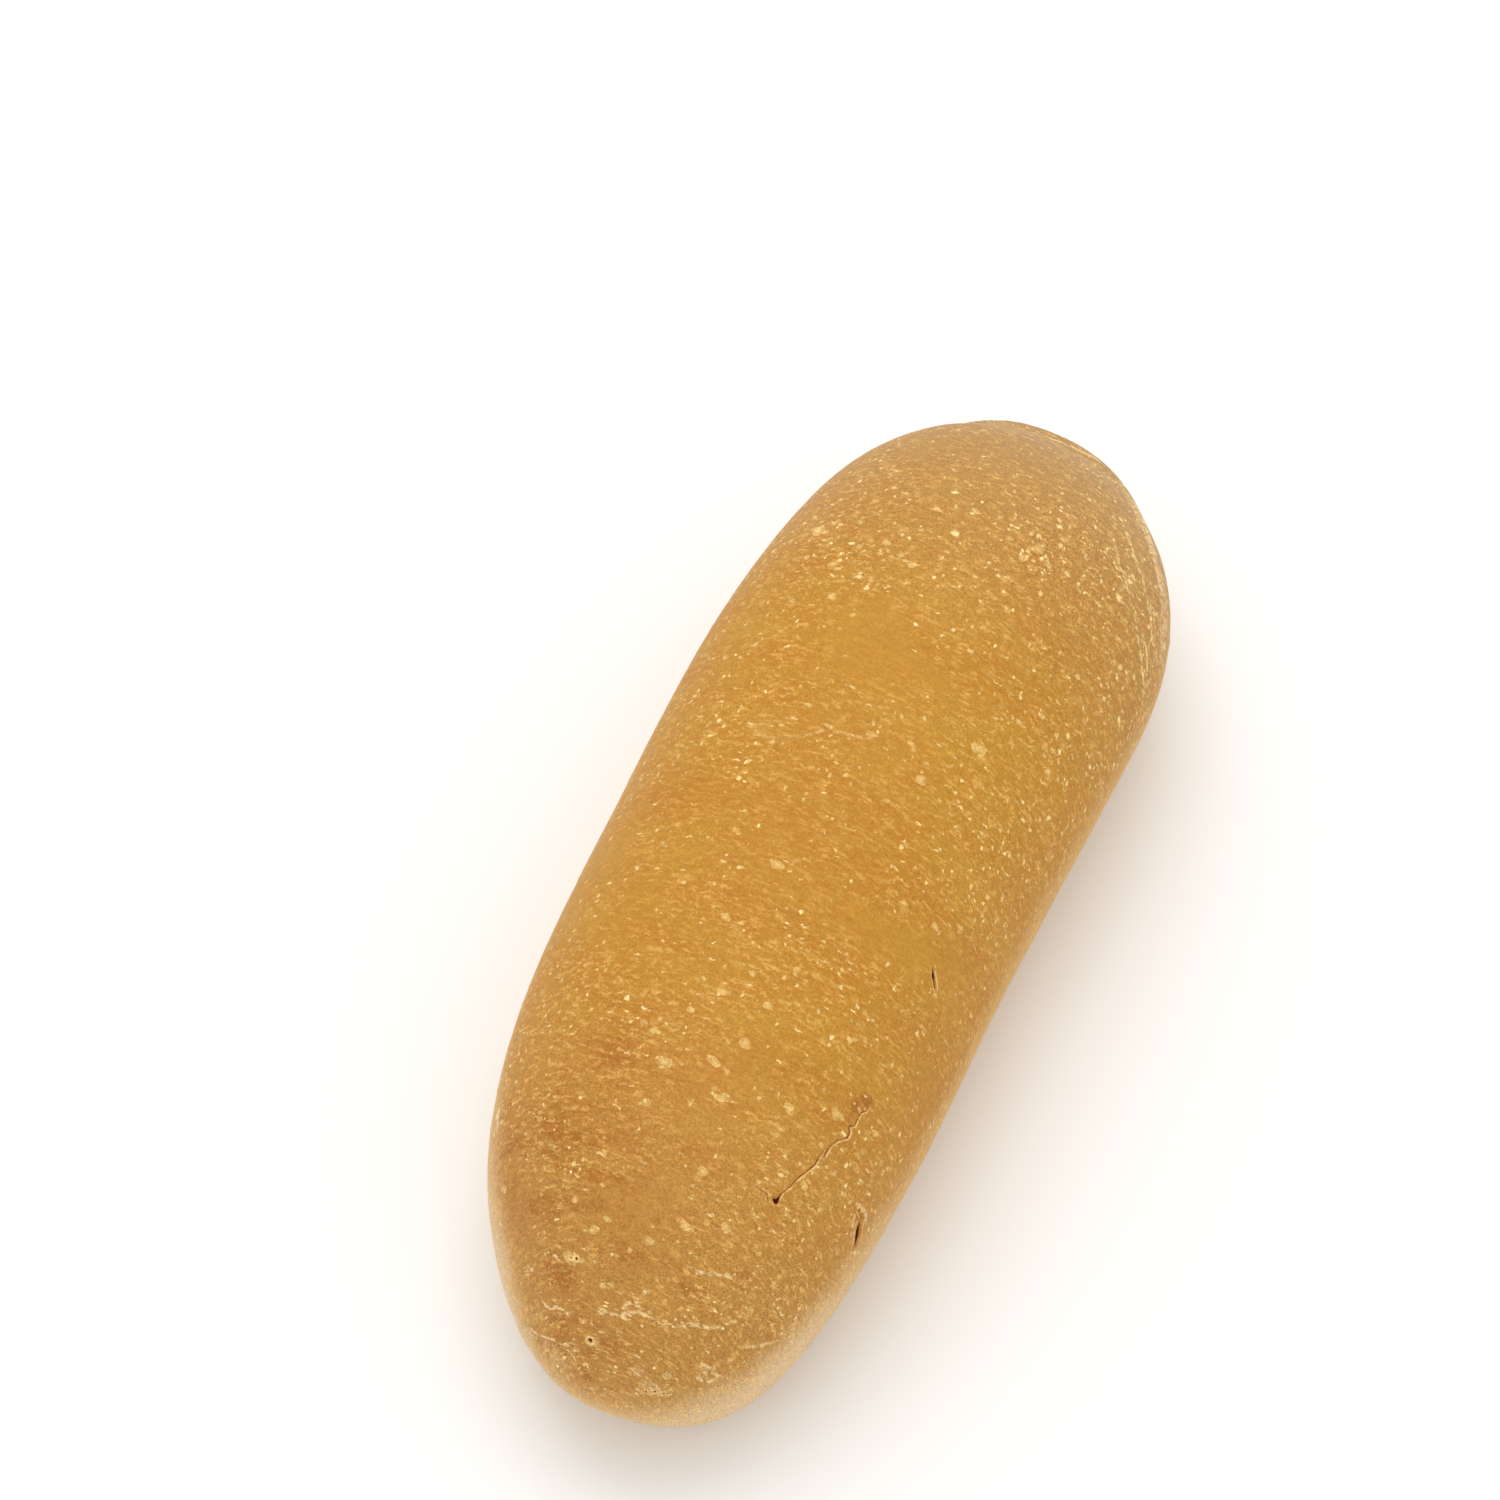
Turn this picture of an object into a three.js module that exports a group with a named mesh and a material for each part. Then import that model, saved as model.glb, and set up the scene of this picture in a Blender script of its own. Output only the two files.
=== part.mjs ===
// An olive oil bread roll: one closed solid of rolled-up dough, baked on a tray.
// Millimetres. +X runs along the roll, +Z is up, and the flat sole lies on Z = 0.
// The origin is the middle of the sole's underside, below the middle of the roll.
import * as THREE from 'three';

// Driving dimensions.
const LENGTH = 140;       // from tip to tip, the end knobs included
const WIDTH = 52.5;       // across the middle
const HEIGHT = 45;        // from the sole to the crown
const SOLE_LENGTH = 112;  // flat strip that lay on the tray
const SOLE_WIDTH = 30;
const SOLE_LATE = 3.5;    // the strip narrows towards the tips as 1 - t^late
const END_HEIGHT = 18;    // height of the tip of each rounded end
const WAIST_SHARE = 0.43; // height of the widest line, as a share of the section's height
const BOW = 4;            // how far the middle swings out to +Y
const LEAN_STARTS = 0.5;  // share of the half length where an end starts to lean
const SOLE_MOST = 0.7;    // the sole is never wider than this share of its section

// How square the section is: 2 gives an ellipse, more gives a fuller corner.
const CROWN_FULLNESS = 2.12;
const FLANK_FULLNESS = 2.2;

// The two ends. In plan and in profile each closes as sqrt(1 - t^late), with t from
// 0 in the middle of the roll to 1 at the tip, so a higher number is a blunter end.
// The inner coil of the dough shows at the tip as a low knob, off the middle line.
const NEAR_END = {
  side: -1,
  latePlan: 3.4,
  lateProfile: 3.6,
  lean: -1.3,
  knobReach: 0.9,
  knobAcross: 6,
  knobUp: 14,
};
const FAR_END = {
  side: 1,
  latePlan: 5.4,
  lateProfile: 5,
  lean: 1.5,
  knobReach: 2.2,
  knobAcross: -2,
  knobUp: 15,
};
const KNOB_HALF_WIDTH = 12; // where a knob has fallen to about a third of its reach
const KNOB_HALF_HEIGHT = 9;
const KNOB_STARTS = 0.75;   // share of the half length where a knob starts to rise

// Facets.
const STATIONS_PER_HALF = 30;
const SOLE_STEPS = 6;
const FLANK_STEPS = 8;
const CROWN_STEPS = 22;

// The share of the full size that is left at share t of the way to a tip.
function closing(t, late) {
  return Math.sqrt(1 - t ** late);
}

// cos or sin bent towards a fuller corner, with its sign kept.
function fuller(value, fullness) {
  return Math.sign(value) * Math.abs(value) ** (2 / fullness);
}

// How far a knob lifts the end out along X, at a place across and up its face.
function knobLift(end, y, z) {
  const across = (y - end.knobAcross) / KNOB_HALF_WIDTH;
  const up = (z - end.knobUp) / KNOB_HALF_HEIGHT;
  return end.knobReach * Math.exp(-(across ** 2) - up ** 2);
}

// The sizes of the cross-section at share t of the way from the middle to one tip.
function sectionAt(end, t) {
  const shellReach = LENGTH / 2 - knobLift(end, 0, END_HEIGHT);
  const distance = shellReach * t;
  const soleReach = SOLE_LENGTH / 2;
  const past = Math.max(0, (distance - soleReach) / (shellReach - soleReach));
  const bottom = END_HEIGHT * (1 - Math.sqrt(1 - past ** 2));
  const top = END_HEIGHT + (HEIGHT - END_HEIGHT) * closing(t, end.lateProfile);
  const leaning = Math.max(0, t - LEAN_STARTS) / (1 - LEAN_STARTS);
  return {
    x: end.side * distance,
    halfWidth: (WIDTH / 2) * closing(t, end.latePlan),
    soleHalf: (SOLE_WIDTH / 2) * (1 - t ** SOLE_LATE),
    bottom,
    top,
    waist: bottom + (top - bottom) * WAIST_SHARE,
    across: BOW * (1 - t ** 2) + end.lean * leaning ** 2,
  };
}

// The points of one section, from the sole's middle round the +Y flank, the crown
// and the -Y flank, back to the sole's middle. They are offsets from the section's x.
function sectionRing(section) {
  const { halfWidth, bottom, top, waist } = section;
  const soleHalf = Math.min(section.soleHalf, SOLE_MOST * halfWidth);
  const half = [];
  for (let i = 0; i < SOLE_STEPS / 2; i += 1) {
    half.push([(soleHalf * i) / (SOLE_STEPS / 2), bottom]);
  }
  for (let i = 0; i < FLANK_STEPS; i += 1) {
    const turn = ((Math.PI / 2) * i) / FLANK_STEPS;
    const out = fuller(Math.sin(turn), FLANK_FULLNESS);
    const down = fuller(Math.cos(turn), FLANK_FULLNESS);
    half.push([soleHalf + (halfWidth - soleHalf) * out, waist - (waist - bottom) * down]);
  }
  for (let i = 0; i <= CROWN_STEPS / 2; i += 1) {
    const turn = (Math.PI * i) / CROWN_STEPS;
    const out = fuller(Math.cos(turn), CROWN_FULLNESS);
    const up = fuller(Math.sin(turn), CROWN_FULLNESS);
    half.push([halfWidth * out, waist + (top - waist) * up]);
  }
  const mirrored = half.slice(1, -1).reverse().map(([y, z]) => [-y, z]);
  return [...half, ...mirrored];
}

// All sections in order from the -X tip to the +X tip. The tips are single points.
function rollStations() {
  const stations = [];
  for (let i = -STATIONS_PER_HALF; i <= STATIONS_PER_HALF; i += 1) {
    const end = i < 0 ? NEAR_END : FAR_END;
    const t = Math.sin(((Math.PI / 2) * Math.abs(i)) / STATIONS_PER_HALF);
    stations.push({ end, t, section: sectionAt(end, t) });
  }
  return stations;
}

function ringPoints({ end, t, section }) {
  const knobShare = THREE.MathUtils.smoothstep(t, KNOB_STARTS, 1);
  return sectionRing(section).map(([offset, z]) => {
    const x = section.x + end.side * knobShare * knobLift(end, offset, z);
    return new THREE.Vector3(x, offset + section.across, z);
  });
}

function tipPoint({ end, section }) {
  return new THREE.Vector3((end.side * LENGTH) / 2, section.across, END_HEIGHT);
}

// Joins the rings into one closed surface that faces out.
function rollGeometry() {
  const stations = rollStations();
  const rings = stations.slice(1, -1).map(ringPoints);
  const count = rings[0].length;
  const points = rings.flat();
  const firstTip = points.push(tipPoint(stations[0])) - 1;
  const lastTip = points.push(tipPoint(stations[stations.length - 1])) - 1;
  const lastRing = (rings.length - 1) * count;
  const faces = [];
  for (let k = 0; k < count; k += 1) {
    const next = (k + 1) % count;
    faces.push(firstTip, next, k);
    faces.push(lastTip, lastRing + k, lastRing + next);
    for (let ring = 0; ring < rings.length - 1; ring += 1) {
      const here = ring * count;
      const beyond = here + count;
      faces.push(here + k, here + next, beyond + next);
      faces.push(here + k, beyond + next, beyond + k);
    }
  }
  const geometry = new THREE.BufferGeometry().setFromPoints(points);
  geometry.setIndex(faces);
  geometry.computeBoundingBox();
  const centre = geometry.boundingBox.getCenter(new THREE.Vector3());
  geometry.translate(-centre.x, -centre.y, 0);
  geometry.computeVertexNormals();
  return geometry;
}

// Oil-glazed crust, golden brown.
const crust = new THREE.MeshStandardMaterial({
  color: 0xca944b,
  roughness: 0.55,
  metalness: 0,
});

const roll = new THREE.Mesh(rollGeometry(), crust);
roll.name = 'roll';

const breadRoll = new THREE.Group();
breadRoll.name = 'olive_oil_bread_roll';
breadRoll.add(roll);

export default breadRoll;
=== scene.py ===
# %% [markdown]
# # An olive oil bread roll
#
# An oil roll is a flat sheet of soft dough, rolled up like a carpet, left to rise and
# baked until its crust is golden. It is all one piece, so this lesson makes one mesh
# and one material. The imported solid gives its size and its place. Around that solid the
# cells below draw the same form again with a far finer skin: the tears, the blisters,
# the coiled ends and the crust's colour.

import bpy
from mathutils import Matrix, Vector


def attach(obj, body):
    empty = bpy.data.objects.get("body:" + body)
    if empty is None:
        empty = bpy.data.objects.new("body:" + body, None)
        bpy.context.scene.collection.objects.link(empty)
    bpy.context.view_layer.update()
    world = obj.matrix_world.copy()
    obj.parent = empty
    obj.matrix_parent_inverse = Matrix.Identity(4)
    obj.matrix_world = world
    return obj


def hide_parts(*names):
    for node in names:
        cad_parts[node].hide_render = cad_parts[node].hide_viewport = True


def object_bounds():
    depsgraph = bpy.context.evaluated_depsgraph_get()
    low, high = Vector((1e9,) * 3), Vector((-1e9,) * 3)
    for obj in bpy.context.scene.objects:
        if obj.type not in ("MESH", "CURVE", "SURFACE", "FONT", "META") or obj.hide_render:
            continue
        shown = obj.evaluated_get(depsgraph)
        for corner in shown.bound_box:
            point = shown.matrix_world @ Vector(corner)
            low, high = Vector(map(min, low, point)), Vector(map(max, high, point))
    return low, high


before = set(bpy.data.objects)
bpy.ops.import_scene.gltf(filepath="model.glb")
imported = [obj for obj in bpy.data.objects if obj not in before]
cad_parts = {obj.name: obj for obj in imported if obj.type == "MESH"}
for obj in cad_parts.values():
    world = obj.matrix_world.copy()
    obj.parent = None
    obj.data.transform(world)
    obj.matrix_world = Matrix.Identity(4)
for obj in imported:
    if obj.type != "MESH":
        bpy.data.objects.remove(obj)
solid_low, solid_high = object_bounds()
print("solid, mm:", [round(1000 * side, 1) for side in solid_high - solid_low])

# %% [markdown]
# ## Units
#
# Blender counts in metres and a baker in millimetres. The form is worked out in
# millimetres, as arrays of points, and turned into metres once, when the mesh is made.
# `numpy` does the sums for all the points at once, which is quick and short to write.

# %% Units and helpers
import math

import bmesh
import bpy
import numpy as np
from mathutils import Matrix, Vector, noise

MM = 0.001


def smooth(value, low, high):
    """0 below low, 1 above high, and a soft S between them."""
    share = np.clip((value - low) / (high - low), 0, 1)
    return share * share * (3 - 2 * share)


def bell(distance, width):
    """1 at distance 0, about a third at one width, and nearly 0 at two."""
    return np.exp(-((distance / width) ** 2))


# %% [markdown]
# ## The camera
#
# The photo looks down steeply on the roll, nearly along it, from its near end. The two
# angles below were found by fitting the roll's outline. The lens is long, because the
# roll hardly narrows towards its far end in the photo. The camera isn't turned to put
# the roll off the middle of the picture. It is slid sideways, so that the view of the
# roll keeps its direction.

# %% Camera
VIEW_AZIMUTH = math.radians(-65.4)    # 0 looks along +Y, and -90 looks along +X
VIEW_ELEVATION = math.radians(61.5)
CAMERA_DISTANCE = 900                 # from the middle of the roll, in mm
PICTURE_SIDE = 1500                   # the photo's width and height, in pixels
PIXELS_PER_MM = 8.33                  # at the roll's middle
ROLL_MIDDLE_PX = (818.3, 880.6)       # where the roll's middle falls in the photo
SENSOR = 36

middle = (solid_low + solid_high) / (2 * MM)
back = Vector((
    math.sin(VIEW_AZIMUTH) * math.cos(VIEW_ELEVATION),
    -math.cos(VIEW_AZIMUTH) * math.cos(VIEW_ELEVATION),
    math.sin(VIEW_ELEVATION),
))
right = Vector((math.cos(VIEW_AZIMUTH), math.sin(VIEW_AZIMUTH), 0))
up = back.cross(right)
picture_middle = (
    middle
    - right * (ROLL_MIDDLE_PX[0] - PICTURE_SIDE / 2) / PIXELS_PER_MM
    + up * (ROLL_MIDDLE_PX[1] - PICTURE_SIDE / 2) / PIXELS_PER_MM
)

lens = bpy.data.cameras.new("camera")
lens.sensor_width = SENSOR
lens.lens = SENSOR * CAMERA_DISTANCE / (PICTURE_SIDE / PIXELS_PER_MM)
lens.clip_start, lens.clip_end = 0.01, 20
camera = bpy.data.objects.new("camera", lens)
camera.matrix_world = Matrix.Translation((picture_middle + back * CAMERA_DISTANCE) * MM) @ (
    Matrix((right, up, back)).transposed().to_4x4()
)
bpy.context.scene.collection.objects.link(camera)
bpy.context.scene.camera = camera
print("lens, mm:", round(lens.lens, 1))

# %% [markdown]
# ## The floor and the light
#
# The roll lies on a plain, nearly white floor under a big soft lamp, like food in a
# light tent. A wide lamp has soft shadows, and the white surroundings fill them. The
# surroundings matter for the crust too: a thin film of oil mirrors them faintly, most
# of all where the crust turns away from the eye. That is part of why the roll's rim
# looks paler than its middle; the rest is sheen painted into the crust's colour.

# %% Floor, lamp and surroundings
FLOOR_SIDE = 6.0
FLOOR_COLOUR = (0.93, 0.93, 0.925)
FLOOR_ROUGHNESS = 0.9
SKY_STRENGTH = 0.92
LAMP_PLACE = Vector((0.25, 0.18, 0.90))
LAMP_SIDE = 0.7
LAMP_WATTS = 2.9

scene = bpy.context.scene
scene.view_settings.view_transform = "Standard"
scene.world = bpy.data.worlds.new("light_tent")
scene.world.use_nodes = True
sky = scene.world.node_tree.nodes["Background"]
sky.inputs["Color"].default_value = (1, 1, 1, 1)
sky.inputs["Strength"].default_value = SKY_STRENGTH

lamp_data = bpy.data.lights.new("soft_lamp", "AREA")
lamp_data.size = LAMP_SIDE
lamp_data.energy = LAMP_WATTS
lamp = bpy.data.objects.new("soft_lamp", lamp_data)
lamp.location = LAMP_PLACE
lamp.rotation_euler = LAMP_PLACE.to_track_quat("Z", "Y").to_euler()
scene.collection.objects.link(lamp)

floor_mesh = bpy.data.meshes.new("floor")
half_floor = FLOOR_SIDE / 2
floor_corners = [(x * half_floor, y * half_floor, 0) for x, y in [(-1, -1), (1, -1), (1, 1), (-1, 1)]]
floor_mesh.from_pydata(floor_corners, [], [(0, 1, 2, 3)])
floor = bpy.data.objects.new("floor", floor_mesh)
scene.collection.objects.link(floor)
floor_paint = bpy.data.materials.new("floor")
floor_paint.use_nodes = True
floor_shader = floor_paint.node_tree.nodes["Principled BSDF"]
floor_shader.inputs["Base Color"].default_value = (*FLOOR_COLOUR, 1)
floor_shader.inputs["Roughness"].default_value = FLOOR_ROUGHNESS
floor_mesh.materials.append(floor_paint)
print("floor:", FLOOR_SIDE, "m wide, lamp:", LAMP_WATTS, "W")

# %% [markdown]
# ## The form of the roll
#
# The roll could be sculpted by hand, but a formula can be checked and changed. Every
# cross-section is a rounded shape on a flat sole. It shrinks towards both tips, the near
# end sooner and the far end later, so the far end is blunter. The whole roll bows a
# little to one side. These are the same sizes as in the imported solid.

# %% Sizes of the form, in millimetres
LENGTH = 140
WIDTH = 52.5
HEIGHT = (solid_high.z - solid_low.z) / MM
SOLE_LENGTH = 112      # the flat strip that lay on the tray
SOLE_WIDTH = 30
SOLE_LATE = 3.5        # the strip narrows towards the tips as 1 - t^late
SOLE_MOST = 0.7        # and is never wider than this share of its section
END_HEIGHT = 18        # height of the tip of each end
WAIST_SHARE = 0.43     # height of the widest line, as a share of the section's height
BOW = 4                # how far the middle swings out to +Y
LEAN_STARTS = 0.5      # share of the half length where an end starts to lean
CROWN_FULLNESS = 2.12  # how square the section is: 2 gives an ellipse, more a fuller corner
FLANK_FULLNESS = 2.2
KNOB_HALF_WIDTH = 12   # where a knob has fallen to about a third of its reach
KNOB_HALF_HEIGHT = 9
KNOB_STARTS = 0.75     # share of the half length where a knob starts to rise

# In plan and in profile each end closes as sqrt(1 - t^late), with t from 0 in the middle
# of the roll to 1 at the tip, so a higher number is a blunter end.
NEAR_END = {
    "side": -1, "late_plan": 3.4, "late_profile": 3.6, "lean": -1.3,
    "knob_reach": 0.9, "knob_across": 6, "knob_up": 14,
}
FAR_END = {
    "side": 1, "late_plan": 5.4, "late_profile": 5, "lean": 1.5,
    "knob_reach": 2.2, "knob_across": -2, "knob_up": 15,
}
CROWN_TO = 0.50        # the crown's curve takes this share of the way round to the sole's middle
SOLE_TAKES = 0.19      # and the sole takes this share, where it is widest


# %% The smooth form
def fuller(value, fullness):
    """A cosine or a sine bent towards a fuller corner, with its sign kept."""
    return np.sign(value) * np.abs(value) ** (2 / fullness)


def knob_lift(end, y, z):
    """How far a knob lifts the end out along X, at a place across and up its face."""
    across = (y - end["knob_across"]) / KNOB_HALF_WIDTH
    upward = (z - end["knob_up"]) / KNOB_HALF_HEIGHT
    return end["knob_reach"] * np.exp(-(across ** 2) - upward ** 2)


def half_form(end, t, w):
    """Points on one half of the roll: t runs from its middle to its tip, and w runs from
    the sole's middle, -1, over the crown, 0, back to the sole's middle, 1."""
    reach = LENGTH / 2 - knob_lift(end, 0, END_HEIGHT)
    distance = reach * t
    past = np.clip((distance - SOLE_LENGTH / 2) / (reach - SOLE_LENGTH / 2), 0, 1)
    bottom = END_HEIGHT * (1 - np.sqrt(1 - past ** 2))
    top = END_HEIGHT + (HEIGHT - END_HEIGHT) * np.sqrt(1 - t ** end["late_profile"])
    half_width = WIDTH / 2 * np.sqrt(1 - t ** end["late_plan"])
    sole = np.minimum(SOLE_WIDTH / 2 * (1 - t ** SOLE_LATE), SOLE_MOST * half_width)
    waist = bottom + (top - bottom) * WAIST_SHARE
    leaning = np.clip((t - LEAN_STARTS) / (1 - LEAN_STARTS), 0, 1)
    axis = BOW * (1 - t ** 2) + end["lean"] * leaning ** 2

    round_crown = np.clip(np.abs(w) / CROWN_TO, 0, 1) * math.pi / 2
    flank_to = 1 - SOLE_TAKES * np.maximum(sole / (SOLE_WIDTH / 2), 1e-6)
    round_flank = np.clip((np.abs(w) - CROWN_TO) / (flank_to - CROWN_TO), 0, 1) * math.pi / 2
    over_sole = np.clip((np.abs(w) - flank_to) / (1 - flank_to), 0, 1)
    out = half_width * fuller(np.sin(round_crown), CROWN_FULLNESS)
    out = out - (half_width - sole) * (1 - fuller(np.cos(round_flank), FLANK_FULLNESS))
    out = np.sign(w) * (out - sole * over_sole)
    z = waist + (top - waist) * fuller(np.cos(round_crown), CROWN_FULLNESS)
    z = z - (waist - bottom) * fuller(np.sin(round_flank), FLANK_FULLNESS)
    x = distance + smooth(t, KNOB_STARTS, 1) * knob_lift(end, out, z)
    return np.stack([end["side"] * x, out + axis, z], -1)


def form(s, w):
    """Points on the whole roll, with s from the near tip, -1, to the far tip, 1."""
    s, w = np.broadcast_arrays(s, w)
    near = half_form(NEAR_END, np.abs(s), w)
    far = half_form(FAR_END, np.abs(s), w)
    return np.where((s < 0)[..., None], near, far) - FORM_MIDDLE


ROUGH_ROWS = 241
ROUGH_COLUMNS = 161

FORM_MIDDLE = 0    # until the form is measured, and moved so that it lies round the origin
rough_s = np.sin(np.linspace(-math.pi / 2, math.pi / 2, ROUGH_ROWS))
rough = form(rough_s[:, None], np.linspace(-1, 1, ROUGH_COLUMNS)[None])
FORM_MIDDLE = (rough.min((0, 1)) + rough.max((0, 1))) / 2 * [1, 1, 0]
print("form, mm:", np.round(np.ptp(rough, (0, 1)), 1), "moved by", np.round(-FORM_MIDDLE, 2))

# %% [markdown]
# ## An even grid of points
#
# The skin is a grid: rows from tip to tip, and columns round the roll. Evenly spaced
# rows need the distance along the crust, not along the middle line, or the round ends
# would get too few. That distance is summed up once in small steps and read backwards.

# %% The grid
ROWS = 282
COLUMNS = 258
FINE_ROWS = 2001
FINE_COLUMNS = 24

fine_s = np.sin(np.linspace(-math.pi / 2, math.pi / 2, FINE_ROWS))
fine_w = np.linspace(-1, 1, FINE_COLUMNS, endpoint=False)
steps = np.linalg.norm(np.diff(form(fine_s[:, None], fine_w[None]), axis=0), axis=-1)
travelled = np.concatenate([[0], np.cumsum(steps.mean(1))])
CRUST_LENGTH = travelled[-1]

row_travel = np.linspace(0, CRUST_LENGTH, ROWS + 1)[1:-1]
row_s = np.interp(row_travel, travelled, fine_s)
column_w = np.linspace(-1, 1, COLUMNS, endpoint=False)
grid_s, grid_w = [a.ravel() for a in np.meshgrid(row_s, column_w, indexing="ij")]
grid_travel = np.repeat(row_travel, COLUMNS)

hoops = form(row_s[:, None], np.append(column_w, 1)[None])
hoop_steps = np.linalg.norm(np.diff(hoops, axis=1), axis=-1)
hoop_travel = np.concatenate([np.zeros((ROWS - 1, 1)), np.cumsum(hoop_steps, 1)], 1)
grid_girth = (hoop_travel - hoop_travel[:, COLUMNS // 2, None])[:, :-1].ravel()
print("along the crust", round(CRUST_LENGTH), "mm, girth", round(hoop_travel.max()), "mm")

# %% [markdown]
# ## Places on the crust
#
# A blister or a tear is placed as a baker would point at it: so far along the roll from
# its middle, and so far round from the crown. `on_crust` finds the grid point nearest to
# such a place, with the crust's own directions there: out of it, round it and along it.

# %% Find places on the crust
END_FACE = 55      # mm from the middle of the roll: an end's face lies beyond this
RULED_OUT = 1e6    # added to the distance of every point that must not be found

grid_points = form(grid_s, grid_w)
laid_out = grid_points.reshape(ROWS - 1, COLUMNS, 3)
along_rows = np.gradient(laid_out, axis=0).reshape(-1, 3)
round_columns = (np.roll(laid_out, -1, 1) - np.roll(laid_out, 1, 1)).reshape(-1, 3)


def unit(vectors):
    return vectors / np.maximum(np.linalg.norm(vectors, axis=-1, keepdims=True), 1e-9)


grid_round = unit(round_columns)
grid_out = unit(np.cross(along_rows, round_columns))
grid_along = np.cross(grid_round, grid_out)


def on_crust(along, around):
    """The number of the grid point that far along X and that far round from the crown."""
    return np.argmin((grid_points[:, 0] - along) ** 2 + (grid_girth - around) ** 2)


def on_end(end, y, z):
    """The number of the grid point of an end's face at that y and z."""
    off_face = grid_points[:, 0] * end["side"] < END_FACE
    misses = (grid_points[:, 1] - y) ** 2 + (grid_points[:, 2] - z) ** 2
    return np.argmin(misses + RULED_OUT * off_face)


print("grid points:", len(grid_points))

# %% [markdown]
# ## What the photo shows on this crust
#
# These places were read off the photo, in millimetres. One long tear runs up from a dark
# pit and steps sideways halfway up. A slit gapes beside it, and a smaller one lies further
# up. Each place on a tear also says how far it gapes, from its middle line to its lip.

# %% Tears and slits: along, around, half opening
LOWER_TEAR = [
    (-46.7, -15.5, 0.14), (-46.4, -15.6, 0.30), (-46.0, -15.8, 0.14), (-45.6, -16.1, 0.05),
    (-44.3, -16.9, 0.05), (-42.6, -17.7, 0.08), (-41.2, -18.2, 0.06), (-40.2, -18.9, 0.08),
    (-39.4, -19.2, 0.09), (-38.8, -19.3, 0.05), (-38.1, -19.5, 0.03),
]
UPPER_TEAR = [
    (-39.1, -20.0, 0.03), (-38.3, -20.1, 0.09), (-37.2, -20.2, 0.05), (-36.3, -20.8, 0.06),
    (-35.6, -21.2, 0.04), (-34.8, -22.1, 0.08), (-34.3, -22.0, 0.11), (-33.7, -21.8, 0.09),
    (-33.1, -22.1, 0.05), (-32.3, -22.1, 0.07), (-31.6, -22.5, 0.06), (-30.9, -22.7, 0.05),
    (-30.1, -23.1, 0.03),
]
TEAR_BRANCH = [(-46.3, -12.7, 0.03), (-46.3, -13.6, 0.04), (-46.6, -14.3, 0.05), (-47.3, -14.6, 0.03)]
SLIT = [
    (-39.8, -30.6, 0.07), (-40.2, -31.1, 0.18), (-40.7, -32.0, 0.36), (-41.3, -32.8, 0.42),
    (-42.0, -33.4, 0.28), (-42.4, -33.8, 0.08),
]
SLIT_FLECKS = [(-39.6, -29.6, 0.09), (-39.8, -30.2, 0.04), (-39.6, -31.0, 0.09)]
SMALL_SLIT = [(-11.0, -23.2, 0.05), (-11.8, -23.8, 0.24), (-12.6, -24.7, 0.06)]

# How far the pale torn lip lies from each middle line, and whether it follows both sides.
TEARS = [
    (LOWER_TEAR, 0.20, False), (UPPER_TEAR, 0.20, False), (TEAR_BRANCH, 0.24, True),
    (SLIT, 0.95, True), (SLIT_FLECKS, 0.45, True), (SMALL_SLIT, 0.36, True),
]

# %% [markdown]
# Steam lifts the thin skin in blisters, and the largest of them are set one by one. Where
# the skin burst, a pin hole is left, or a ring that was the blister's edge.

# %% Blisters: along, around, half width round the roll, half width along it
BLISTERS = [
    (-38.6, 2.6, 1.10, 0.72), (-36.3, -2.5, 0.95, 0.50), (-39.8, -5.0, 1.10, 0.60),
    (-36.7, -13.3, 0.80, 0.50), (-34.1, -19.3, 0.95, 0.62), (-43.5, 3.0, 0.75, 0.40),
    (-32.7, -5.2, 0.95, 0.55), (-48.0, -6.0, 0.65, 0.60), (-52.3, -10.6, 0.75, 0.50),
    (-54.1, -5.5, 0.75, 0.40), (-57.3, -2.1, 0.75, 0.45), (-50.3, 6.3, 0.42, 0.42),
    (-55.8, 8.2, 0.45, 0.42), (-53.5, 5.1, 0.45, 0.34), (-56.7, 3.7, 0.60, 0.40),
    (-58.2, 5.0, 1.10, 0.45), (-54.1, 22.4, 0.80, 0.55), (-61.4, 7.0, 1.55, 0.80),
    (-35.3, 5.1, 0.80, 0.50), (-31.3, 2.3, 0.55, 0.35), (-27.8, -0.6, 0.95, 0.42),
    (-27.6, -6.3, 0.70, 0.32), (-10.6, -0.2, 1.05, 0.50), (-19.3, 0.5, 0.45, 0.30),
    (7.9, -11.0, 0.75, 0.60), (15.6, -15.0, 1.10, 0.75), (10.4, -2.8, 0.85, 0.32),
    (36.2, 18.0, 1.30, 0.70), (-32.2, -25.7, 0.75, 0.35), (43.0, -9.2, 0.70, 0.70),
    (41.0, -8.1, 0.60, 0.55), (41.7, -11.2, 0.65, 0.45), (-63.6, -2.5, 0.26, 0.25),
    (-63.4, -4.0, 0.30, 0.25), (-59.7, 1.4, 0.45, 0.30), (-58.9, -0.2, 0.32, 0.30),
    (-63.1, 2.1, 0.45, 0.35), (-63.1, 0.1, 0.40, 0.25), (-63.6, -6.2, 0.42, 0.25),
    (-69.4, 6.5, 0.35, 0.40), (-68.9, 2.9, 0.50, 0.25), (-38.9, -19.8, 0.32, 0.22),
    (-38.2, -19.0, 0.45, 0.28),
]
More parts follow.
